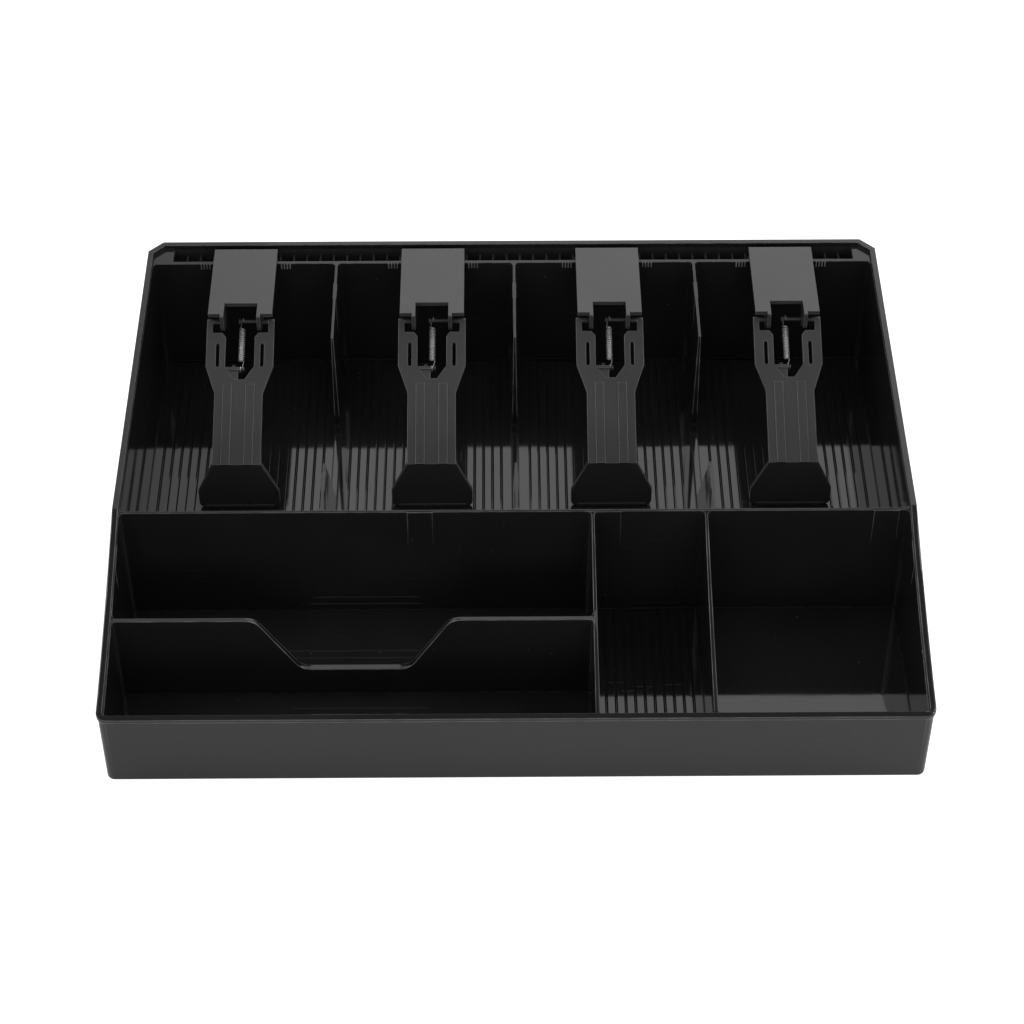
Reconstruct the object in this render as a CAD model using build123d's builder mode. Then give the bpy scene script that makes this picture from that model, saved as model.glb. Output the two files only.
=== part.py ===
"""Cash drawer tray with bill and coin compartments and four sprung bill clips."""
import os
from math import asin, atan2, cos, degrees, floor, hypot, pi, radians, sin, sqrt, tan

from build123d import *

# Frame: X to the right, Y to the back, Z up, origin in the middle of the underside.
# A distance "from the back" runs forward from the outer face of the back wall.

# Tray shell
tray_width = 330.0
tray_depth = 266.0
rear_height = 62.0
front_height = 37.5
slope_sag = 2.0
rim_width = 2.4
rim_step = 0.2
rim_bead = 0.4
rim_bead_height = 1.8
floor_thickness = 2.4
outer_draft = 0.3
pocket_draft = 0.75
rear_chamfer = 6.5
front_corner_radius = 4.0
bottom_round = 1.4
pocket_corner_radius = 1.2
inner_drop = 2.0

# Clip channel along the back wall
channel_width = 9.2
lip_thickness = 1.6
cell_pitch = 6.06
cell_shift = 0.6
cross_rib_thickness = 0.8
cross_rib_drop = 4.0
channel_end_wall = 2.0
clip_cell_shift = (0, 1, 0, 0)

# Compartments: a place across is a share of the width, from the middle
bill_length = 159.0
mid_wall_thickness = 1.1
divider_thickness = 1.1
cross_divider_thickness = 1.5
bill_divider_place = (-0.2406, 0.0027, 0.2491)
coin_divider_place = (0.0973, 0.2385)
cross_divider_place = 0.5117
cross_divider_height = 45.2
notch_top_width = 79.0
notch_bottom_width = 44.0
notch_floor_height = 16.5
notch_round = 7.0

# Scoop in each bill divider: its places are distances from the back
scoop_back = 64.5
scoop_landing_height = 8.0
scoop_landing_length = 1.4
ridge_height = 4.8
ridge_start = 67.2
rise_start = 109.0
rise_end = 144.5
scoop_top_round = 3.0

# Floor grooves
groove_pitch = 4.0
groove_width = 1.3
long_groove_depth = 0.32
cross_groove_depth = 0.12
groove_margin = 2.2

# Ejector pads, where the mould's pins push on the wall edges
pad_length = 10.5
pad_proud = 0.27
mid_wall_pad_place = (-0.1182, 0.1167, 0.4636)
divider_pad_from_back = 32.5
divider_pad_from_mid_wall = 17.2
side_pads_from_front = (26.0, 74.0)

# Fine teeth on the lip's front face, beside each clip
tooth_pitch = 1.3
tooth_width = 0.5
tooth_proud = 0.4
tooth_height = 3.0
tooth_count = 4
tooth_gap = 2.0

# Clip base
plate_width = 28.4
plate_length = 45.0
plate_back_gap = 3.0
plate_thickness = 2.0
plate_notch_width = 14.6
plate_notch_length = 7.2
cheek_thickness = 1.6
cheek_clearance = 0.3
cheek_rear_height = 6.0
cheek_height = 11.0
cheek_slope_length = 22.5
cheek_nose_radius = 3.9
cheek_reach_forward = 3.7
cheek_front_round = 0.6
leg_thickness = 2.2
leg_length = 16.0
leg_clearance = 0.25
leg_cell_offset = 2
leg_tip_chamfer = 0.8
post_radius = 0.8
knob_radius = 1.15
knob_length = 0.6
post_back_from_hinge = 6.2
post_below_hinge = 5.0

# Hinge between a base and its arm
hinge_from_lip = 35.8
hinge_below_lip = 4.0
hinge_pin_radius = 0.8
hinge_clearance = 0.08
hinge_boss_radius = 1.25
hinge_shoulder_radius = 1.0
hinge_side_gap = 0.3

# Clip arm: lengths along it run forward from the hinge axis
arm_tilt = 24.5
arm_thickness = 2.0
arm_length = 68.8
fork_width = 29.8
ear_width = 2.6
ear_length = 5.6
prong_shoulder_width = 8.0
prong_shoulder_length = 7.7
fork_opening_width = 12.8
fork_opening_length = 21.9
fork_throat_width = 4.6
fork_throat_length = 28.1
fork_shoulder_length = 21.9
neck_end_length = 34.8
shaft_width = 21.2
slot_width = 1.6
slot_start = 10.7
slot_end = 22.1
slot_offset = 9.8
band_width = 4.0
band_offset = 5.0
band_start = 30.5
band_proud = 0.5
foot_width = 35.5
foot_thickness = 1.8
foot_flare_height = 9.6
foot_corner_radius = 3.0
foot_lip_height = 1.6
foot_lip_proud = 0.4
foot_floor_gap = 0.3
ledge_start = 22.2
ledge_thickness = 1.4
ledge_depth = 4.4
ledge_end_overlap = 0.6
web_edge = 0.6
web_top = 0.3
web_thickness = 1.2
finger_along = 20.65
finger_below = 5.53
finger_tab_thickness = 1.4
finger_tab_offset = 2.2
finger_tab_margin = 1.4
knob_gap = 1.0

# Extension spring between the base's post and the arm's finger
spring_wire = 0.5
spring_coil_radius = 1.15
spring_pitch = 0.97
spring_turns = 16.5
spring_loop_radius = 1.3
gap_samples_per_arc = 8

# One overrun serves all cuts that run past a face
overrun = 5.0

# Places worked out from the sizes above
half_width = tray_width / 2
back_y = tray_depth / 2
front_y = -tray_depth / 2
inner_half_width = half_width - rim_width - rim_step
inner_top = rear_height - inner_drop
channel_back_y = back_y - rim_width
channel_front_y = channel_back_y - channel_width
lip_front_y = channel_front_y - lip_thickness
bill_front_y = lip_front_y - bill_length
coin_back_y = bill_front_y - mid_wall_thickness
coin_front_y = front_y + rim_width + rim_step
cross_divider_y = coin_back_y - cross_divider_place * (coin_back_y - coin_front_y)
bill_divider_x = [tray_width * place for place in bill_divider_place]
coin_divider_x = [tray_width * place for place in coin_divider_place]
slope_start_y = bill_front_y - mid_wall_thickness / 2
pocket_run = (inner_top - floor_thickness) * tan(radians(pocket_draft))
outer_run = rear_height * tan(radians(outer_draft))

hinge_y = lip_front_y - hinge_from_lip
hinge_z = inner_top - hinge_below_lip
post_y = hinge_y + post_back_from_hinge
post_z = hinge_z - post_below_hinge
plate_back_y = channel_back_y - plate_back_gap
plate_front_y = plate_back_y - plate_length
cell_width = cell_pitch - cross_rib_thickness


def from_back(distance):
    """Y of a place this far in front of the back wall's outer face."""
    return back_y - distance


def slope_arc(drop):
    """Hollow slope of the rim from the mid wall down past the front face, lowered by drop."""
    run = slope_start_y - front_y
    fall = rear_height - front_height
    chord = hypot(run, fall)
    radius = (chord * chord / 4 + slope_sag * slope_sag) / (2 * slope_sag)
    rise = (radius - slope_sag) / chord
    center_y = (slope_start_y + front_y) / 2 - fall * rise
    center_z = (rear_height + front_height) / 2 + run * rise
    start = degrees(atan2(rear_height - center_z, slope_start_y - center_y))
    sweep_angle = degrees(2 * asin(chord / 2 / radius) + overrun / radius)
    return CenterArc((center_y, center_z - drop), radius, start, -sweep_angle)


def region_above_rim_line(drop):
    """Side view of everything above the lowered rim line: level, then down the slope."""
    level = rear_height - drop
    top = rear_height + overrun
    with BuildSketch(Plane.YZ) as region:
        with BuildLine():
            slope_end = slope_arc(drop) @ 1
            Polyline(
                slope_end,
                (slope_end.X, top),
                (back_y + overrun, top),
                (back_y + overrun, level),
                (slope_start_y, level),
            )
        make_face()
    return region.sketch


def footprint(height, inset):
    """Plan outline of the tray, drawn in by inset: cut rear corners and round front ones."""
    with BuildSketch(Plane.XY.offset(height)) as outline:
        Rectangle(tray_width - 2 * inset, tray_depth - 2 * inset)
        rear_corners = outline.vertices().group_by(Axis.Y)[-1]
        chamfer(rear_corners, rear_chamfer - inset * (2 - sqrt(2)))
        front_corners = outline.vertices().group_by(Axis.Y)[0]
        fillet(front_corners, front_corner_radius - inset)
    return outline.sketch


def pocket(x_left, x_right, y_front, y_back):
    """Cut one compartment, which the mould's draft makes a little larger at the top."""
    with BuildSketch(Plane.XY.offset(floor_thickness)) as opening:
        with Locations(((x_left + x_right) / 2, (y_front + y_back) / 2)):
            RectangleRounded(
                x_right - x_left - 2 * pocket_run,
                y_back - y_front - 2 * pocket_run,
                pocket_corner_radius,
            )
    depth = rear_height - floor_thickness
    extrude(opening.sketch, amount=depth, taper=-pocket_draft, mode=Mode.SUBTRACT)


def spread(low, high):
    """Places of the grooves between two walls, one pitch apart and centred."""
    count = floor((high - low - 2 * groove_margin) / groove_pitch)
    first = (low + high) / 2 - groove_pitch * (count - 1) / 2
    return [first + groove_pitch * index for index in range(count)]


def groove_points(depth):
    """Section of a floor groove, with the space above it."""
    return (
        (-groove_width / 2, 0),
        (0, -depth),
        (groove_width / 2, 0),
        (groove_width / 2, depth),
        (-groove_width / 2, depth),
    )


def grooves_along_y(x_left, x_right, y_front, y_back):
    """Cut lengthwise grooves in a compartment's floor."""
    start = (0, y_back - groove_margin, floor_thickness)
    with BuildSketch(Plane(origin=start, x_dir=(1, 0, 0), z_dir=(0, -1, 0))) as row:
        with Locations(*[(place, 0) for place in spread(x_left, x_right)]):
            Polygon(*groove_points(long_groove_depth), align=None)
    extrude(row.sketch, amount=y_back - y_front - 2 * groove_margin, mode=Mode.SUBTRACT)


def grooves_along_x(x_left, x_right, y_front, y_back):
    """Cut crosswise grooves in a compartment's floor."""
    start = (x_left + groove_margin, 0, floor_thickness)
    with BuildSketch(Plane(origin=start, x_dir=(0, 1, 0), z_dir=(1, 0, 0))) as row:
        with Locations(*[(place, 0) for place in spread(y_front, y_back)]):
            Polygon(*groove_points(cross_groove_depth), align=None)
    extrude(row.sketch, amount=x_right - x_left - 2 * groove_margin, mode=Mode.SUBTRACT)


def pad(x, y, x_size, y_size):
    """Add one ejector pad from the floor up to the inner walls' top."""
    with BuildSketch(Plane.XY.offset(floor_thickness / 2)) as foot:
        with Locations((x, y)):
            Rectangle(x_size, y_size)
    extrude(foot.sketch, amount=inner_top - floor_thickness / 2)


bill_walls_x = (-inner_half_width, *bill_divider_x, inner_half_width)
bill_pockets = [
    (
        left + (divider_thickness / 2 if left != -inner_half_width else 0),
        right - (divider_thickness / 2 if right != inner_half_width else 0),
        bill_front_y,
        lip_front_y,
    )
    for left, right in zip(bill_walls_x[:-1], bill_walls_x[1:])
]
first_coin_divider_x, second_coin_divider_x = coin_divider_x
left_coin_right_x = first_coin_divider_x - divider_thickness / 2
back_coin_pocket = (
    -inner_half_width,
    left_coin_right_x,
    cross_divider_y + cross_divider_thickness / 2,
    coin_back_y,
)
front_coin_pocket = (
    -inner_half_width,
    left_coin_right_x,
    coin_front_y,
    cross_divider_y - cross_divider_thickness / 2,
)
middle_coin_pocket = (
    first_coin_divider_x + divider_thickness / 2,
    second_coin_divider_x - divider_thickness / 2,
    coin_front_y,
    coin_back_y,
)
right_coin_pocket = (
    second_coin_divider_x + divider_thickness / 2,
    inner_half_width,
    coin_front_y,
    coin_back_y,
)

# Channel cells between the cross ribs, clear of the cut rear corners
corner_reach = rear_chamfer + channel_end_wall * sqrt(2) - rim_width
cell_limit = half_width - corner_reach - cell_width / 2
cells_each_way = floor(cell_limit / cell_pitch) + 1
cell_places = [
    cell_shift + cell_pitch * index
    for index in range(-cells_each_way, cells_each_way + 1)
    if abs(cell_shift + cell_pitch * index) <= cell_limit
]
channel_left_x = cell_places[0] - cell_width / 2
channel_right_x = cell_places[-1] + cell_width / 2

# Each clip hangs on the cell next to the middle of its bill compartment
clip_cells = [
    round(((left + right) / 2 - cell_shift) / cell_pitch) + shift
    for left, right, shift in zip(bill_walls_x[:-1], bill_walls_x[1:], clip_cell_shift)
]
clip_places = [cell_shift + cell_pitch * cell for cell in clip_cells]

# Outer bead that follows the rim
with BuildPart() as rim_band:
    extrude(footprint(0, 0), amount=rear_height)
    lowered = region_above_rim_line(rim_bead_height)
    extrude(lowered, amount=tray_width, both=True, mode=Mode.INTERSECT)

# Space inside the rim, above the inner walls
with BuildPart() as headroom:
    extrude(footprint(0, rim_width), amount=rear_height + overrun)
    above_walls = region_above_rim_line(inner_drop)
    extrude(above_walls, amount=tray_width, both=True, mode=Mode.INTERSECT)

with BuildPart() as tray:
    # Solid block with the outer draft and the round lower edge
    lower_outline = footprint(0, rim_bead + outer_run)
    upper_outline = footprint(rear_height, rim_bead)
    loft([lower_outline.face(), upper_outline.face()], ruled=True)
    fillet(tray.edges().group_by(Axis.Z)[0], bottom_round)
    add(rim_band.part)

    # Compartments
    for corners in bill_pockets:
        pocket(*corners)
    pocket(*back_coin_pocket)
    pocket(*front_coin_pocket)
    pocket(*middle_coin_pocket)
    pocket(*right_coin_pocket)

    # Ejector pads on the inner walls
    for place in mid_wall_pad_place:
        pad(tray_width * place, coin_back_y, pad_length, 2 * pad_proud)
    for x in bill_divider_x:
        for y in (from_back(divider_pad_from_back), bill_front_y + divider_pad_from_mid_wall):
            pad(x, y, divider_thickness + 2 * pad_proud, pad_length)
    for x in (-inner_half_width, inner_half_width):
        for distance in side_pads_from_front:
            pad(x, front_y + distance, 2 * pad_proud, pad_length)
    extrude(region_above_rim_line(0), amount=tray_width, both=True, mode=Mode.SUBTRACT)

    # Clip channel: cells between cross ribs that end below the lip
    with BuildSketch(Plane.XY.offset(floor_thickness)):
        with Locations(*[(x, (channel_back_y + channel_front_y) / 2) for x in cell_places]):
            Rectangle(cell_width, channel_width)
    extrude(amount=rear_height, mode=Mode.SUBTRACT)
    with BuildSketch(Plane.XY.offset(inner_top - cross_rib_drop)):
        channel_middle = (
            (channel_left_x + channel_right_x) / 2,
            (channel_back_y + channel_front_y) / 2,
        )
        with Locations(channel_middle):
            Rectangle(channel_right_x - channel_left_x, channel_width)
    extrude(amount=rear_height, mode=Mode.SUBTRACT)

    # Scoops in the bill dividers
    with BuildSketch(Plane.YZ.offset(bill_divider_x[0] - 2 * divider_thickness)):
        with BuildLine():
            Polyline(
                (from_back(scoop_back), rear_height + overrun),
                (from_back(scoop_back), scoop_landing_height),
                (from_back(scoop_back + scoop_landing_length), scoop_landing_height),
                (from_back(ridge_start), ridge_height),
                (from_back(rise_start), ridge_height),
                (from_back(rise_end), inner_top),
                (from_back(rise_end), rear_height + overrun),
                close=True,
            )
        scoop = make_face()
        top_corner = scoop.vertices().sort_by_distance((from_back(rise_end), inner_top, 0))[0]
        foot_corner = scoop.vertices().sort_by_distance((from_back(rise_start), ridge_height, 0))[0]
        fillet([top_corner, foot_corner], scoop_top_round)
    scoop_span = bill_divider_x[-1] - bill_divider_x[0] + 4 * divider_thickness
    extrude(amount=scoop_span, mode=Mode.SUBTRACT)

    # Low cross divider: its flat top and its notch
    notch_middle_x = (left_coin_right_x - inner_half_width) / 2
    cross_half = (left_coin_right_x + inner_half_width) / 2
    cut_half = cross_divider_thickness
    cross_back = (notch_middle_x, cross_divider_y + cut_half, 0)
    with BuildSketch(Plane(origin=cross_back, x_dir=(1, 0, 0), z_dir=(0, -1, 0))) as cross_top:
        with BuildLine():
            Polyline(
                (-cross_half, rear_height),
                (-cross_half, cross_divider_height),
                (-notch_top_width / 2, cross_divider_height),
                (-notch_bottom_width / 2, notch_floor_height),
                (notch_bottom_width / 2, notch_floor_height),
                (notch_top_width / 2, cross_divider_height),
                (cross_half, cross_divider_height),
                (cross_half, rear_height),
                close=True,
            )
        make_face()
        notch_reach = (cross_half + notch_top_width / 2) / 2
        notch_corners = cross_top.vertices().filter_by(lambda corner: abs(corner.X) < notch_reach)
        fillet(notch_corners, notch_round)
    extrude(amount=2 * cut_half, mode=Mode.SUBTRACT)

    add(headroom.part, mode=Mode.SUBTRACT)

    # Floor grooves
    for corners in bill_pockets:
        grooves_along_y(*corners)
    grooves_along_y(*middle_coin_pocket)
    grooves_along_x(*back_coin_pocket)
    grooves_along_x(*front_coin_pocket)

    # Fine teeth on the lip beside each clip
    tooth_start = plate_width / 2 + tooth_gap
    tooth_places = [
        (x + side * (tooth_start + tooth_pitch * index), lip_front_y)
        for x in clip_places
        for side in (-1, 1)
        for index in range(tooth_count)
    ]
    with BuildSketch(Plane.XY.offset(inner_top - tooth_height)):
        with Locations(*tooth_places):
            Rectangle(tooth_width, 2 * tooth_proud)
    extrude(amount=tooth_height)


def arm_point(along, above):
    """(Y, Z) of a place on an arm: this far forward of the hinge and above the arm's middle."""
    tilt = radians(arm_tilt)
    return (
        hinge_y - along * cos(tilt) - above * sin(tilt),
        hinge_z - along * sin(tilt) + above * cos(tilt),
    )


def arm_plane(x, above):
    """Plane along an arm, this far above its middle: X across it, -Y forward along it."""
    tilt = radians(arm_tilt)
    y, z = arm_point(0, above)
    return Plane(origin=(x, y, z), x_dir=(1, 0, 0), z_dir=(0, -sin(tilt), cos(tilt)))


def round_bar(y, z, x_from, x_to, radius, mode=Mode.ADD):
    """Add or cut a round bar across the clip."""
    with BuildSketch(Plane.YZ.offset(x_from)) as section:
        with Locations((y, z)):
            Circle(radius)
    extrude(section.sketch, amount=x_to - x_from, mode=mode)


def make_clip_base(x):
    """Clip base: plate over the channel, legs in its cells, cheeks with bores, spring post."""
    with BuildPart() as base:
        with BuildSketch(Plane.XY.offset(inner_top)):
            with Locations((x, (plate_back_y + plate_front_y) / 2)):
                Rectangle(plate_width, plate_length)
            with Locations((x, plate_front_y + plate_notch_length / 2)):
                Rectangle(plate_notch_width, plate_notch_length, mode=Mode.SUBTRACT)
        extrude(amount=plate_thickness)

        # Cheeks under the plate; in front of its wings they rise to its top
        cheek_back_y = lip_front_y - cheek_clearance
        cheek_front_y = hinge_y - cheek_reach_forward
        plate_top = inner_top + plate_thickness
        for side in (-1, 1):
            inner_x = x + side * plate_notch_width / 2
            with BuildSketch(Plane.YZ.offset(inner_x)) as cheek:
                with BuildLine():
                    Polyline(
                        (cheek_back_y, inner_top),
                        (cheek_back_y, inner_top - cheek_rear_height),
                        (cheek_back_y - cheek_slope_length, inner_top - cheek_height),
                        (hinge_y + cheek_nose_radius, inner_top - cheek_height),
                        (hinge_y, hinge_z - cheek_nose_radius),
                        (cheek_front_y, hinge_z),
                        (cheek_front_y, plate_top),
                        (plate_front_y, plate_top),
                        (plate_front_y, inner_top),
                        close=True,
                    )
                make_face()
                front_corner = (cheek_front_y, plate_top, 0)
                fillet(cheek.vertices().sort_by_distance(front_corner)[0], cheek_front_round)
                with Locations((hinge_y, hinge_z)):
                    Circle(cheek_nose_radius)
            extrude(amount=side * cheek_thickness)

        cheek_reach = plate_notch_width / 2 + cheek_thickness
        bore_radius = hinge_pin_radius + hinge_clearance
        round_bar(
            hinge_y,
            hinge_z,
            x - cheek_reach - overrun,
            x + cheek_reach + overrun,
            bore_radius,
            mode=Mode.SUBTRACT,
        )

        # Legs that stand in two cells of the channel, against the lip
        leg_y = channel_front_y + leg_clearance + leg_thickness / 2
        with BuildSketch(Plane.XY.offset(inner_top - leg_length)):
            for side in (-1, 1):
                with Locations((x + side * leg_cell_offset * cell_pitch, leg_y)):
                    Rectangle(cell_width - 2 * leg_clearance, leg_thickness)
        extrude(amount=leg_length)
        chamfer(base.edges().group_by(Axis.Z)[0].filter_by(Axis.X), leg_tip_chamfer)

        # Spring post from the right cheek to the middle, with its knob
        post_end_x = x - knob_gap - knob_length
        round_bar(post_y, post_z, x + plate_notch_width / 2, post_end_x, post_radius)
        round_bar(post_y, post_z, x - knob_gap, post_end_x, knob_radius)
    return base


def make_clip_arm(x):
    """Clip arm: fork with hinge stubs, slots, shaft with two bands, foot and spring finger."""
    half_fork = fork_width / 2
    half_shaft = shaft_width / 2
    right_outer = [
        (half_fork, 0),
        (half_fork, -fork_shoulder_length),
        (half_shaft, -neck_end_length),
        (half_shaft, -arm_length),
    ]
    right_inner = [
        (half_fork - ear_width, 0),
        (half_fork - ear_width, -ear_length),
        (prong_shoulder_width, -ear_length),
        (fork_opening_width / 2, -prong_shoulder_length),
        (fork_opening_width / 2, -fork_opening_length),
        (fork_throat_width / 2, -fork_throat_length),
    ]
    left_outer = [(-across, along) for across, along in reversed(right_outer)]
    left_inner = [(-across, along) for across, along in right_inner]
    outline = right_outer + left_outer + left_inner + list(reversed(right_inner))

    with BuildPart() as arm:
        with BuildSketch(arm_plane(x, -arm_thickness / 2)):
            with BuildLine():
                Polyline(*outline, close=True)
            make_face()
            slot_length = slot_end - slot_start
            slot_middle = -(slot_start + slot_end) / 2
            with Locations((-slot_offset, slot_middle), (slot_offset, slot_middle)):
                SlotOverall(slot_length, slot_width, rotation=90, mode=Mode.SUBTRACT)
        extrude(amount=arm_thickness)

        # Raised bands along the shaft
        band_length = arm_length - band_start
        with BuildSketch(arm_plane(x, 0)):
            band_middle = -(band_start + arm_length) / 2
            with Locations((-band_offset, band_middle), (band_offset, band_middle)):
                Rectangle(band_width, band_length)
        extrude(amount=arm_thickness / 2 + band_proud)

        # Foot: an upright plate that flares towards the floor
        foot_y, foot_top = arm_point(arm_length, arm_thickness / 2)
        foot_bottom = floor_thickness + foot_floor_gap
        flare_z = foot_bottom + foot_flare_height
        half_foot = foot_width / 2
        foot_front = Plane(origin=(x, foot_y, 0), x_dir=(-1, 0, 0), z_dir=(0, 1, 0))
        with BuildSketch(foot_front) as foot:
            with BuildLine():
                Polyline(
                    (-half_shaft, foot_top),
                    (-half_foot, flare_z),
                    (-half_foot, foot_bottom),
                    (half_foot, foot_bottom),
                    (half_foot, flare_z),
                    (half_shaft, foot_top),
                    close=True,
                )
            make_face()
            fillet(foot.vertices().group_by(Axis.Y)[0], foot_corner_radius)
        extrude(amount=foot_thickness)
        with BuildSketch(foot_front):
            with Locations((0, foot_bottom + foot_lip_height / 2)):
                Rectangle(foot_width - 2 * foot_corner_radius, foot_lip_height)
        extrude(amount=-foot_lip_proud)

        # Hinge ears: a boss, a shoulder and the stub that turns in the cheek's bore
        cheek_outer = plate_notch_width / 2 + cheek_thickness
        for side in (-1, 1):
            ear_inner_x = x + side * (half_fork - ear_width)
            shoulder_x = x + side * (cheek_outer + hinge_side_gap)
            stub_x = x + side * plate_notch_width / 2
            round_bar(hinge_y, hinge_z, x + side * half_fork, ear_inner_x, hinge_boss_radius)
            round_bar(hinge_y, hinge_z, ear_inner_x, shoulder_x, hinge_shoulder_radius)
            round_bar(hinge_y, hinge_z, shoulder_x, stub_x, hinge_pin_radius)

        # Ledge from the left prong, its tab and the finger that holds the spring
        ledge_left = -fork_opening_width / 2 - ledge_end_overlap
        with BuildSketch(arm_plane(x, arm_thickness / 2 - ledge_depth)):
            ledge_middle = (ledge_left / 2, -ledge_start - ledge_thickness / 2)
            with Locations(ledge_middle):
                Rectangle(-ledge_left, ledge_thickness)
        extrude(amount=ledge_depth)
        with BuildSketch(arm_plane(x, web_top - web_thickness)):
            web_length = fork_throat_length + ledge_end_overlap - ledge_start
            web_middle = ((ledge_left - web_edge) / 2, -ledge_start - web_length / 2)
            with Locations(web_middle):
                Rectangle(-ledge_left - web_edge, web_length)
        extrude(amount=web_thickness)
        tab_front = ledge_start + ledge_thickness
        tab_back = finger_along - finger_tab_margin
        tab_low = -finger_below - finger_tab_margin
        tab_high = arm_thickness / 2 - ledge_depth
        with BuildSketch(Plane.YZ.offset(x - finger_tab_offset)):
            with BuildLine():
                Polyline(
                    arm_point(tab_front, tab_low),
                    arm_point(tab_back, tab_low),
                    arm_point(tab_back, tab_high),
                    arm_point(ledge_start, 0),
                    arm_point(tab_front, 0),
                    close=True,
                )
            make_face()
        extrude(amount=-finger_tab_thickness)
        finger_y, finger_z = arm_point(finger_along, -finger_below)
        finger_end_x = x + knob_gap + knob_length
        round_bar(finger_y, finger_z, x - finger_tab_offset, finger_end_x, post_radius)
        round_bar(finger_y, finger_z, x + knob_gap, finger_end_x, knob_radius)
    return arm


def biarc(start, start_tangent, end, end_tangent):
    """Two arcs that leave start and reach end along the given unit tangents."""
    chord = end - start
    both = start_tangent + end_tangent
    spread_factor = 2 * (1 - start_tangent.dot(end_tangent))
    along = chord.dot(both)
    reach = (sqrt(along * along + spread_factor * chord.dot(chord)) - along) / spread_factor
    joint = (start + end + (start_tangent - end_tangent) * reach) / 2
    joint_tangent = (end - end_tangent * reach - start - start_tangent * reach).normalized()
    return [
        Edge.make_tangent_arc(start, start_tangent, joint),
        Edge.make_tangent_arc(joint, joint_tangent, end),
    ]


def spring_wire_edges(x):
    """Centre line of one spring: rear hook, coil and front hook, as straight ends and arcs."""
    post = Vector(x, post_y, post_z)
    finger = Vector(x, *arm_point(finger_along, -finger_below))
    axis = (finger - post).normalized()
    side = Vector(1, 0, 0)
    rise = side.cross(axis)
    coil_length = spring_pitch * spring_turns
    coil_start = ((finger - post).length - coil_length) / 2
    climb = spring_pitch / (2 * pi)

    def coil_place(half_turn):
        angle = pi * (1 + half_turn)
        ahead = coil_start + spring_pitch * half_turn / 2
        around = side * cos(angle) + rise * sin(angle)
        tangent = (rise * cos(angle) - side * sin(angle)) * spring_coil_radius + axis * climb
        return post + axis * ahead + around * spring_coil_radius, tangent.normalized()

    loop_side = rise * spring_loop_radius
    loop_ahead = axis * spring_loop_radius
    tail = axis * spring_wire
    rear_low = post - loop_side
    rear_high = post + loop_side
    edges = [Edge.make_line(rear_low + tail, rear_low)]
    edges.append(Edge.make_tangent_arc(rear_low, -axis, post - loop_ahead))
    edges.append(Edge.make_tangent_arc(post - loop_ahead, rise, rear_high))
    place, tangent = coil_place(0)
    edges += biarc(rear_high, axis, place, tangent)
    for half_turn in range(1, round(2 * spring_turns) + 1):
        next_place, next_tangent = coil_place(half_turn)
        edges += biarc(place, tangent, next_place, next_tangent)
        place, tangent = next_place, next_tangent
    front_low = finger - loop_side
    front_high = finger + loop_side
    edges += biarc(place, tangent, front_high, axis)
    edges.append(Edge.make_tangent_arc(front_high, axis, finger + loop_ahead))
    edges.append(Edge.make_tangent_arc(finger + loop_ahead, -rise, front_low))
    edges.append(Edge.make_line(front_low, front_low - tail))
    return edges


def least_gap(edges):
    """Least gap of the wire to itself, between places more than half a coil apart along it."""
    places = []
    along = 0.0
    for edge in edges:
        for index in range(gap_samples_per_arc):
            share = index / gap_samples_per_arc
            places.append((along + edge.length * share, edge.position_at(share)))
        along += edge.length
    apart = pi * spring_coil_radius
    return min(
        hypot(*(second - first)) - spring_wire
        for index, (near, first) in enumerate(places)
        for far, second in places[index + 1:]
        if far - near > apart
    )


def make_clip_spring(x):
    """Extension spring: one round wire swept along its hooks and coils."""
    edges = spring_wire_edges(x)
    with BuildPart() as spring:
        with BuildLine() as path:
            for edge in edges:
                add(edge)
        start = Plane(origin=edges[0] @ 0, z_dir=edges[0] % 0)
        with BuildSketch(start):
            Circle(spring_wire / 2)
        sweep(path=path.wire())
    return spring, least_gap(edges)


os.makedirs("parts", exist_ok=True)

tray.part.label = "tray"
export_step(tray.part, "parts/tray.step")

for number, x in enumerate(clip_places, start=1):
    base = make_clip_base(x)
    base.part.label = f"clip_base_{number}"
    export_step(base.part, f"parts/clip_base_{number}.step")

    arm = make_clip_arm(x)
    arm.part.label = f"clip_arm_{number}"
    export_step(arm.part, f"parts/clip_arm_{number}.step")

    spring, gap = make_clip_spring(x)
    spring.part.label = f"clip_spring_{number}"
    export_step(spring.part, f"parts/clip_spring_{number}.step")
    print(f"clip_spring_{number}: least gap to itself {gap:.3f} mm")
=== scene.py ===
from math import cos, pi, radians, sin

import bpy
from mathutils import Matrix, Vector


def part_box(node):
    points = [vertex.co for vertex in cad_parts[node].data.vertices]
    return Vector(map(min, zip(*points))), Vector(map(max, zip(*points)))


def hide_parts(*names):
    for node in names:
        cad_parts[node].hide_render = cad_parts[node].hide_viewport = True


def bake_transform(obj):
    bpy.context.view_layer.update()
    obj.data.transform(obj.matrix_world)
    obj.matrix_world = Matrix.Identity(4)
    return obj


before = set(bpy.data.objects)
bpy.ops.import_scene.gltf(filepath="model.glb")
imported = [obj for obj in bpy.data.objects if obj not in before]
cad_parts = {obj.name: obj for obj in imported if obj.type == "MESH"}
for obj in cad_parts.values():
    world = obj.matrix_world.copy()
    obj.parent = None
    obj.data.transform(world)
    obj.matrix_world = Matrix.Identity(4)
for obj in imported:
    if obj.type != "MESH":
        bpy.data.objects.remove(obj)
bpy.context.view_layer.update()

MM = 0.001


# Shader helpers

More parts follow.
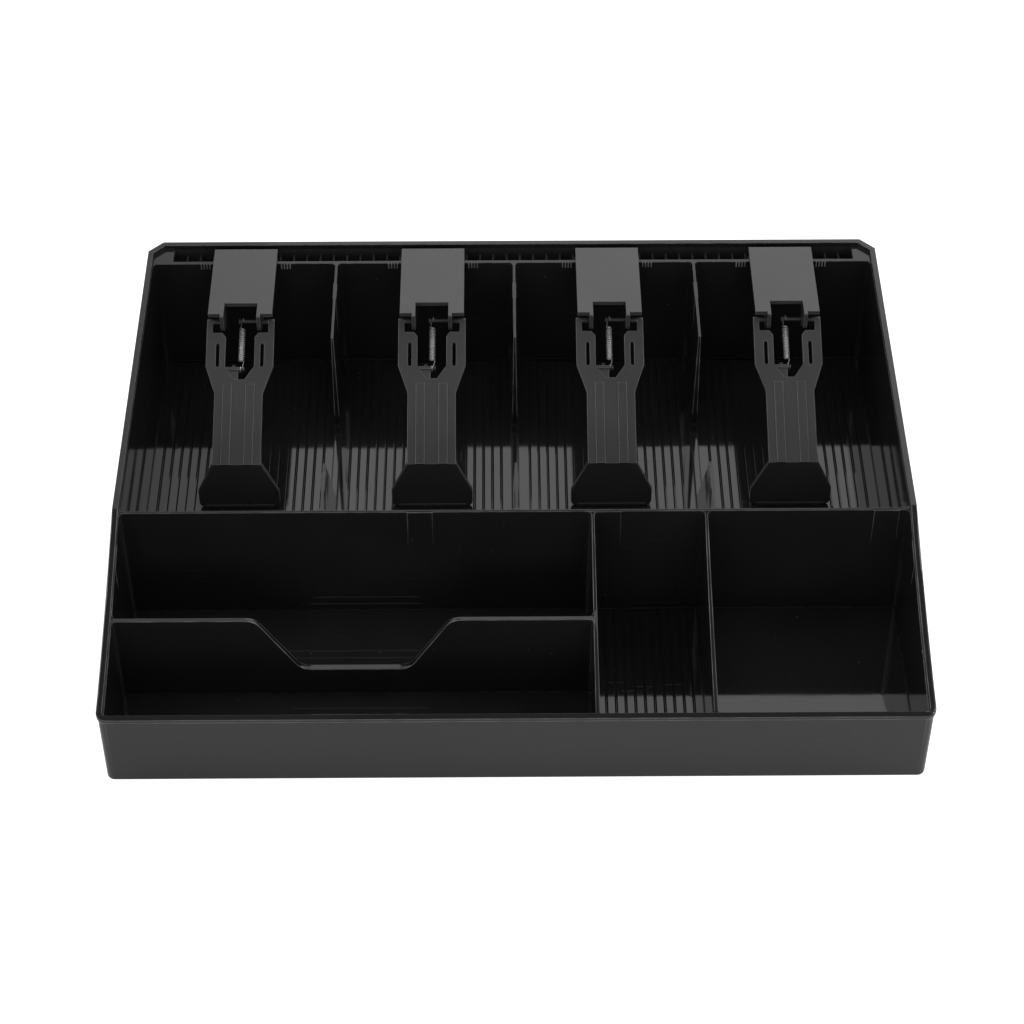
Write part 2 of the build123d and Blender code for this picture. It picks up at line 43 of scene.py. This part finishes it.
class Nodes:
    """A node tree, with a short call for each kind of node that the scene needs."""

    def __init__(self, tree):
        self.tree = tree

    def node(self, kind, inputs=None, **settings):
        made = self.tree.nodes.new("ShaderNode" + kind)
        for key, value in settings.items():
            setattr(made, key, value)
        for key, value in (inputs or {}).items():
            self.put(value, made.inputs[key])
        return made

    def put(self, value, socket):
        """Link a socket, or set a constant directly."""
        if isinstance(value, bpy.types.NodeSocket):
            self.tree.links.new(value, socket)
        else:
            socket.default_value = value

    def math(self, operation, *values):
        return self.node("Math", dict(enumerate(values)), operation=operation).outputs[0]

    def ramp(self, value, low, high, to_low=0.0, to_high=1.0):
        """value taken from the range low to high into the range to_low to to_high."""
        inputs = {"Value": value, "From Min": low, "From Max": high}
        inputs.update({"To Min": to_low, "To Max": to_high})
        return self.node("MapRange", inputs, clamp=True).outputs[0]

    def total(self, first, *others):
        for other in others:
            first = self.math("ADD", first, other)
        return first


class Shader(Nodes):
    """A material with one Principled shader, whose textures lie in the piece's own space."""

    def __init__(self, name):
        self.material = bpy.data.materials.new(name)
        self.material.use_nodes = True
        super().__init__(self.material.node_tree)
        self.tree.nodes.clear()
        output = self.node("OutputMaterial")
        self.shader = self.node("BsdfPrincipled")
        self.tree.links.new(self.shader.outputs["BSDF"], output.inputs["Surface"])
        self.place = self.node("TexCoord").outputs["Object"]

    def set(self, **values):
        for key, value in values.items():
            self.put(value, self.shader.inputs[key.replace("_", " ")])

    def stretched(self, scale, turn=(0, 0, 0)):
        inputs = {"Vector": self.place, "Scale": scale, "Rotation": [radians(a) for a in turn]}
        return self.node("Mapping", inputs).outputs[0]

    def noise(self, scale, detail=2.0, rough=0.5, vector=None):
        inputs = {"Vector": vector or self.place, "Scale": scale}
        inputs.update({"Detail": detail, "Roughness": rough})
        return self.node("TexNoise", inputs).outputs[0]

    def specks(self, scale, radius, share):
        """Small round spots: 1 inside a spot. share is how many of the cells have one."""
        cells = self.node("TexVoronoi", {"Vector": self.place, "Scale": scale})
        inside = self.ramp(cells.outputs["Distance"], radius, radius * 0.6)
        lottery = self.node("SeparateColor", {"Color": cells.outputs["Color"]}).outputs[0]
        chosen = self.math("LESS_THAN", lottery, share)
        return self.math("MULTIPLY", inside, chosen)

    def scratches(self, scale, turn, where_scale, threshold):
        """Fine straight marks that run one way, in patches: 1 on a mark."""
        lines = self.noise(1.0, 1.0, 0.4, self.stretched(scale, turn))
        marks = self.ramp(lines, threshold, threshold + 0.03)
        patches = self.ramp(self.noise(where_scale, 1.0), 0.50, 0.62)
        return self.math("MULTIPLY", marks, patches)

    def openness(self, distance, inside):
        """How free of other surfaces this distance is, looking outwards or inwards."""
        settings = {"samples": 6, "inside": inside, "only_local": True}
        return self.node("AmbientOcclusion", {"Distance": distance}, **settings).outputs["AO"]

    def color_mix(self, share, first, second):
        inputs = {"Factor": share, "A": first, "B": second}
        made = self.node("Mix", data_type="RGBA")
        for key, value in inputs.items():
            socket = [s for s in made.inputs if s.name == key and s.enabled][0]
            self.put(value, socket)
        return [s for s in made.outputs if s.enabled][0]

    def bump(self, height, distance, strength=1.0, normal=None):
        inputs = {"Height": height, "Distance": distance, "Strength": strength}
        if normal:
            inputs["Normal"] = normal
        return self.node("Bump", inputs).outputs[0]


def gray(value):
    return (value, value, value, 1.0)


# Finishes: what differs between the tray's gloss and the clips' satin. wear_reach is how
# far wear spreads from an edge, and wear_elsewhere how much of it level tops and the lowest
# places get, where hands seldom rub.
GLOSS = {
    "dark_tone": 0.0118,
    "pale_tone": 0.0148,
    "least_rough": 0.035,
    "most_rough": 0.070,
    "grain_scale": 1500.0,
    "grain_height": 0.0010 * MM,
    "wear_reach": 0.45 * MM,
    "worn_tone": 0.38,
    "wear_elsewhere": 0.0,
    "shine": 0.5,
    "top_shine": 0.74,
}
SATIN = {
    "dark_tone": 0.0470,
    "pale_tone": 0.0550,
    "least_rough": 0.27,
    "most_rough": 0.31,
    "grain_scale": 2600.0,
    "grain_height": 0.0040 * MM,
    "wear_reach": 0.30 * MM,
    "worn_tone": 0.30,
    "wear_elsewhere": 0.6,
    "shine": 0.42,
    "top_shine": 1.0,
}
# A face is level from this upward share of its normal, and hands reach a place from this
# height above the bottom
LEVEL_FROM, LEVEL_TO = 0.93, 0.98
HANDLED_HEIGHT = (12 * MM, 15 * MM)
SCUFF_TONE = 0.10
DUST_TONE = 0.22
PLASTIC_IOR = 1.53


def moulded_plastic(
    name,
    dark_tone,
    pale_tone,
    least_rough,
    most_rough,
    grain_scale,
    grain_height,
    wear_reach,
    worn_tone,
    wear_elsewhere,
    shine,
    top_shine,
):
    """Black moulded plastic: tone drift, worn edges, grain, flow waves, scuffs and dust."""
    s = Shader(name)

    # Masks: 1 on scratches, on dust, in inner corners, on outer edges and on level tops
    scuffs = s.math(
        "MAXIMUM",
        s.scratches((60, 2100, 2100), (0, 0, 17), 31.0, 0.73),
        s.scratches((1900, 70, 1900), (0, 9, -23), 23.0, 0.74),
    )
    dust = s.specks(210.0, 0.045, 0.16)
    corner = s.ramp(s.openness(2.5 * wear_reach, False), 0.84, 0.60)
    wear = s.ramp(s.openness(wear_reach, True), 0.92, 0.58)
    wear = s.math("MULTIPLY", wear, s.math("SUBTRACT", 1.0, corner))
    facing = s.node("NewGeometry").outputs["Normal"]
    upward = s.node("SeparateXYZ", {"Vector": facing}).outputs["Z"]
    height = s.node("SeparateXYZ", {"Vector": s.place}).outputs["Z"]
    in_reach = s.ramp(height, *HANDLED_HEIGHT)
    handled_top = s.math("MULTIPLY", s.ramp(upward, LEVEL_FROM, LEVEL_TO), in_reach)

    # Colour
    drift = s.ramp(s.noise(26.0, 3.0), 0.35, 0.65)
    tone = s.color_mix(drift, gray(dark_tone), gray(pale_tone))
    tone = s.color_mix(s.math("MULTIPLY", scuffs, 0.10), tone, gray(SCUFF_TONE))
    rubbed = s.math("MULTIPLY", wear, s.ramp(s.noise(130.0, 2.0), 0.35, 0.65, 0.45, 1.0))
    off_tops = s.ramp(upward, LEVEL_FROM, LEVEL_TO, 1.0, wear_elsewhere)
    rubbed = s.math("MULTIPLY", rubbed, off_tops)
    rubbed = s.math("MULTIPLY", rubbed, s.ramp(in_reach, 0, 1, wear_elsewhere, 1))
    tone = s.color_mix(rubbed, tone, gray(worn_tone))
    tone = s.color_mix(s.math("MULTIPLY", dust, 0.8), tone, gray(DUST_TONE))

    # Gloss: corners and edges are duller than the faces
    smear = s.ramp(s.noise(48.0, 4.0, 0.6), 0.30, 0.70, least_rough, most_rough)
    rough = s.total(smear, s.math("MULTIPLY", scuffs, 0.10), s.math("MULTIPLY", dust, 0.4))
    dulled = s.math("MULTIPLY", s.math("MAXIMUM", corner, wear), 0.3)
    level = s.ramp(corner, 0, 1, shine, 0.3 * shine)
    level = s.math("MULTIPLY", level, s.ramp(wear, 0, 1, 1, 0.5))
    level = s.math("MULTIPLY", level, s.ramp(handled_top, 0, 1, 1, top_shine))

    # Relief
    waves = s.bump(s.noise(20.0, 1.0), 0.10 * MM)
    grain = s.bump(s.noise(grain_scale, 3.0, 0.6), grain_height, 1.0, waves)
    lines = s.bump(scuffs, 0.01 * MM, 0.5, grain)

    s.set(Base_Color=tone, Roughness=s.total(rough, dulled), Normal=lines)
    s.set(IOR=PLASTIC_IOR, Specular_IOR_Level=level)
    return s, tone


BRIGHT_PLATING = (0.94, 0.93, 0.91, 1.0)
TARNISHED_PLATING = (0.80, 0.79, 0.77, 1.0)


def spring_steel():
    """Plated spring wire: bright metal with fine draw lines and darker patches."""
    s = Shader("spring_steel")
    drift = s.ramp(s.noise(900.0, 2.0), 0.40, 0.62)
    tone = s.color_mix(drift, BRIGHT_PLATING, TARNISHED_PLATING)
    rough = s.ramp(s.noise(2400.0, 2.0), 0.30, 0.70, 0.18, 0.32)
    lines = s.bump(s.noise(5200.0, 1.0), 0.006 * MM)
    s.set(Base_Color=tone, Roughness=rough, Normal=lines, Metallic=0.72)
    return s.material


CHANNEL_FRONT = 121.4 * MM
CHANNEL_BACK = 130.6 * MM
INNER_TOP = 60.0 * MM
# Paler tone in the deep channel: partly dust, partly painted light where little lamp light
# reaches
DUST_AND_FILL_LIGHT_TONE = 0.032


def tray_plastic():
    """The tray's glossy plastic, paler in the channel behind the clips: partly dust, partly
    painted light.
    """
    s, tone = moulded_plastic("gloss_plastic", **GLOSS)
    axes = s.node("SeparateXYZ", {"Vector": s.place}).outputs
    front = s.ramp(axes["Y"], CHANNEL_FRONT - 0.1 * MM, CHANNEL_FRONT + 0.1 * MM)
    back = s.ramp(axes["Y"], CHANNEL_BACK + 0.2 * MM, CHANNEL_BACK + 0.1 * MM)
    below = s.ramp(axes["Z"], INNER_TOP - 0.1 * MM, INNER_TOP - 0.8 * MM)
    # Painted light and dust: the channel's paler tone also stands in for light that hardly
    # reaches it
    dust_and_fill_light = s.math("MULTIPLY", s.math("MULTIPLY", front, back), below)
    dust_and_fill_light = s.math("MULTIPLY", dust_and_fill_light, s.ramp(s.noise(160.0, 3.0), 0.30, 0.70, 0.55, 0.85))
    s.set(Base_Color=s.color_mix(dust_and_fill_light, tone, gray(DUST_AND_FILL_LIGHT_TONE)))
    return s.material


gloss_plastic = tray_plastic()
matte_plastic = moulded_plastic("matte_plastic", **SATIN)[0].material
steel = spring_steel()


# Moulded parts: the CAD nodes keep their shape and get their finish

CLIPS = (1, 2, 3, 4)
EDGE_ROUND = 0.15 * MM
SHARP_ANGLE = radians(34)
WELD_DISTANCE = 0.001 * MM
FLAT_ANGLE = radians(0.05)
FINISH = {"tray": gloss_plastic}
for number in CLIPS:
    FINISH[f"clip_base_{number}"] = matte_plastic
    FINISH[f"clip_arm_{number}"] = matte_plastic


def round_edges(piece, whole_flats):
    """Fine edge rounds. whole_flats first joins each flat face's triangles into one face."""
    weld = piece.modifiers.new("weld", "WELD")
    weld.merge_threshold = WELD_DISTANCE
    if whole_flats:
        merge = piece.modifiers.new("whole_flats", "DECIMATE")
        merge.decimate_type = "DISSOLVE"
        merge.angle_limit = FLAT_ANGLE
    rounding = piece.modifiers.new("edge_round", "BEVEL")
    rounding.width = EDGE_ROUND
    rounding.segments = 2
    rounding.limit_method = "ANGLE"
    rounding.angle_limit = SHARP_ANGLE
    rounding.use_clamp_overlap = False
    rounding.harden_normals = True


for name, material in FINISH.items():
    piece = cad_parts[name]
    piece.data.materials.clear()
    piece.data.materials.append(material)
    # The tray's floor and walls are too branched to be one face each
    round_edges(piece, whole_flats=name != "tray")


# Springs: one wire each, which stretches between the post and the arm's finger

ARM_TILT = radians(24.5)
HINGE_Y = 84.0 * MM
HINGE_Z = 56.0 * MM
POST = Vector((0, HINGE_Y + 6.2 * MM, HINGE_Z - 5.0 * MM))
FINGER_ALONG = 20.65 * MM
FINGER_BELOW = 5.53 * MM
FINGER = Vector((
    0,
    HINGE_Y - FINGER_ALONG * cos(ARM_TILT) + FINGER_BELOW * sin(ARM_TILT),
    HINGE_Z - FINGER_ALONG * sin(ARM_TILT) - FINGER_BELOW * cos(ARM_TILT),
))
SPRING_WIRE = 0.5 * MM
COIL_RADIUS = 1.15 * MM
SPRING_PITCH = 0.97 * MM
SPRING_TURNS = 16.5
LOOP_RADIUS = 1.3 * MM
LOOP_TWIST = radians(22)
TURN_POINTS = 8
# Where the wire passes between a loop and the coil, as shares of the coil's radius
LEAD_RISE, LEAD_SIDE = 0.8, 0.45
# A spline of this order passes inside its control points by this share of the radius
SPLINE_SHRINK = (2 + cos(2 * pi / TURN_POINTS)) / 3


def spring_points():
    """Control points of a spring's centre line, on the plane x = 0."""
    axis = (FINGER - POST).normalized()
    side = Vector((1, 0, 0))
    rise = side.cross(axis)
    post_rise = rise * cos(LOOP_TWIST) - side * sin(LOOP_TWIST)
    coil_length = SPRING_PITCH * SPRING_TURNS
    coil_start = ((FINGER - POST).length - coil_length) / 2
    tail = axis * SPRING_WIRE
    reach = LOOP_RADIUS / SPLINE_SHRINK
    turn = COIL_RADIUS / SPLINE_SHRINK
    step = 2 * pi / TURN_POINTS
    points = [POST - post_rise * LOOP_RADIUS + tail, POST - post_rise * reach + tail * 0.5]
    for index in range(TURN_POINTS // 2 + 1):
        angle = index * step
        points.append(POST - axis * reach * sin(angle) - post_rise * reach * cos(angle))
    lead = rise * turn * LEAD_RISE
    aside = side * turn * LEAD_SIDE
    points.append(POST + axis * coil_start * 0.5 + lead - aside)
    for index in range(round(TURN_POINTS * SPRING_TURNS) + 1):
        angle = pi + index * step
        ahead = coil_start + SPRING_PITCH * index / TURN_POINTS
        points.append(POST + axis * ahead + (side * cos(angle) + rise * sin(angle)) * turn)
    points.append(FINGER - axis * coil_start * 0.5 + lead + aside)
    for index in range(TURN_POINTS // 2 + 1):
        angle = index * step
        points.append(FINGER + axis * reach * sin(angle) + rise * reach * cos(angle))
    points += [FINGER - rise * reach - tail * 0.5, FINGER - rise * LOOP_RADIUS - tail]
    return points


def make_spring(number):
    low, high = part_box(f"clip_spring_{number}")
    middle_x = (low.x + high.x) / 2
    curve = bpy.data.curves.new(f"spring_wire_{number}", "CURVE")
    curve.dimensions = "3D"
    curve.resolution_u = 4
    curve.bevel_depth = SPRING_WIRE / 2
    curve.bevel_resolution = 3
    curve.use_fill_caps = True
    spline = curve.splines.new("NURBS")
    points = spring_points()
    spline.points.add(len(points) - 1)
    for point, place in zip(spline.points, points):
        point.co = (place.x + middle_x, place.y, place.z, 1.0)
    spline.order_u = 4
    spline.use_endpoint_u = True
    line = bpy.data.objects.new(f"spring_line_{number}", curve)
    bpy.context.scene.collection.objects.link(line)
    bpy.context.view_layer.update()
    evaluated = line.evaluated_get(bpy.context.evaluated_depsgraph_get())
    mesh = bpy.data.meshes.new_from_object(evaluated)
    bpy.data.objects.remove(line)
    piece = bpy.data.objects.new(f"spring_wire_{number}", mesh)
    bpy.context.scene.collection.objects.link(piece)
    for polygon in mesh.polygons:
        polygon.use_smooth = True
    mesh.materials.clear()
    mesh.materials.append(steel)
    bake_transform(piece)
    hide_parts(f"clip_spring_{number}")


for number in CLIPS:
    make_spring(number)


# Floor, world and lights

def ray_kinds(nodes):
    """1 for a camera ray, and 1 for a mirrored or transmitted one."""
    path = nodes.node("LightPath").outputs
    return path["Is Camera Ray"], nodes.math(
        "MAXIMUM", path["Is Glossy Ray"], path["Is Transmission Ray"]
    )


FLOOR_HALF = 6.0
FLOOR_TONE = 0.5
FLOOR_LEFT_X, FLOOR_RIGHT_X = -0.25, 0.25
FLOOR_LEFT_GLOW, FLOOR_RIGHT_GLOW = 0.30, 0.46


def make_floor():
    """Pale floor: white to the camera, and dimmer on the left in mirrored rays."""
    half = FLOOR_HALF
    mesh = bpy.data.meshes.new("floor")
    corners = [(-half, -half, 0), (half, -half, 0), (half, half, 0), (-half, half, 0)]
    mesh.from_pydata(corners, [], [(0, 1, 2, 3)])
    floor = bpy.data.objects.new("floor", mesh)
    bpy.context.scene.collection.objects.link(floor)
    s = Shader("floor")
    s.set(Base_Color=gray(FLOOR_TONE), Roughness=0.9, Specular_IOR_Level=0.0)
    s.set(Emission_Color=gray(1.0))
    camera_ray, mirrored = ray_kinds(s)
    across = s.node("SeparateXYZ", {"Vector": s.place}).outputs["X"]
    span = (FLOOR_LEFT_X, FLOOR_RIGHT_X, FLOOR_LEFT_GLOW, FLOOR_RIGHT_GLOW)
    glow = s.math("MULTIPLY", mirrored, s.ramp(across, *span))
    s.set(Emission_Strength=s.total(camera_ray, glow))
    mesh.materials.append(s.material)


OVERHEAD_LIGHT = 0.09
FRONT_LIGHT = 0.10
DIFFUSE_LIGHT = 0.60


def make_world():
    """White to the camera; mirrored rays see it dim straight overhead and in front."""
    world = bpy.data.worlds.new("studio")
    bpy.context.scene.world = world
    world.use_nodes = True
    background = world.node_tree.nodes["Background"]
    background.inputs["Color"].default_value = gray(1.0)
    w = Nodes(world.node_tree)
    camera_ray, mirrored = ray_kinds(w)
    direction = w.node("TexCoord").outputs["Generated"]
    axes = w.node("SeparateXYZ", {"Vector": direction}).outputs
    overhead = w.ramp(axes["Z"], 0.79, 0.91, 1.0, OVERHEAD_LIGHT)
    in_front = w.ramp(axes["Y"], -0.50, -0.20, FRONT_LIGHT, 1.0)
    mirror_light = w.math("MULTIPLY", overhead, in_front)
    others = w.math("SUBTRACT", w.math("SUBTRACT", 1.0, camera_ray), mirrored)
    strength = w.total(
        camera_ray,
        w.math("MULTIPLY", mirrored, mirror_light),
        w.math("MULTIPLY", others, DIFFUSE_LIGHT),
    )
    w.put(strength, background.inputs["Strength"])


def make_lamp(name, place, aim, width, height, brightness):
    """Soft rectangular lamp; brightness is what its face shows, where 1 is white."""
    lamp = bpy.data.lights.new(name, "AREA")
    lamp.shape = "RECTANGLE"
    lamp.size = width
    lamp.size_y = height
    lamp.energy = brightness * pi * width * height
    holder = bpy.data.objects.new(name, lamp)
    bpy.context.scene.collection.objects.link(holder)
    holder.location = place
    direction = Vector(aim) - Vector(place)
    holder.rotation_euler = direction.to_track_quat("-Z", "Y").to_euler()
    holder.visible_camera = False


make_floor()
make_world()
make_lamp("back_softbox", (0.12, 1.35, 1.35), (0.02, 0, 0.03), 0.80, 1.4, 0.60)
make_lamp("top_softbox", (0.0, -0.10, 2.20), (0, 0, 0), 2.0, 2.0, 0.04)
make_lamp("left_softbox", (-1.28, 0.20, 1.42), (0, 0, 0.03), 0.6, 0.8, 3.5)
make_lamp("right_softbox", (1.28, 0.20, 1.42), (0, 0, 0.03), 0.6, 0.8, 3.5)
make_lamp("front_fill", (0.0, -1.80, 0.62), (0, 0, 0.03), 1.4, 0.45, 2.0)


# Camera: fitted to the photograph

CAMERA_PLACE = (-0.00629, -0.81656, 0.82942)
CAMERA_LENS = 93.663
CAMERA_ANGLES = (44.7617, 0.3832, -0.0199)


def make_camera():
    """The camera at its fitted place. Its angles are elevation, yaw and roll in degrees."""
    elevation, yaw, roll = (radians(angle) for angle in CAMERA_ANGLES)
    forward = Vector((sin(yaw) * cos(elevation), cos(yaw) * cos(elevation), -sin(elevation)))
    right = Vector((cos(yaw), -sin(yaw), 0))
    up = right.cross(forward)
    turned_right = right * cos(roll) + up * sin(roll)
    turned_up = up * cos(roll) - right * sin(roll)
    camera = bpy.data.cameras.new("camera")
    camera.sensor_width = 36.0
    camera.lens = CAMERA_LENS
    camera.clip_start = 0.01
    camera.clip_end = 50.0
    holder = bpy.data.objects.new("camera", camera)
    bpy.context.scene.collection.objects.link(holder)
    rotation = Matrix((turned_right, turned_up, -forward)).transposed().to_4x4()
    holder.matrix_world = Matrix.Translation(CAMERA_PLACE) @ rotation
    bpy.context.scene.camera = holder


make_camera()
bpy.context.scene.view_settings.view_transform = "Standard"
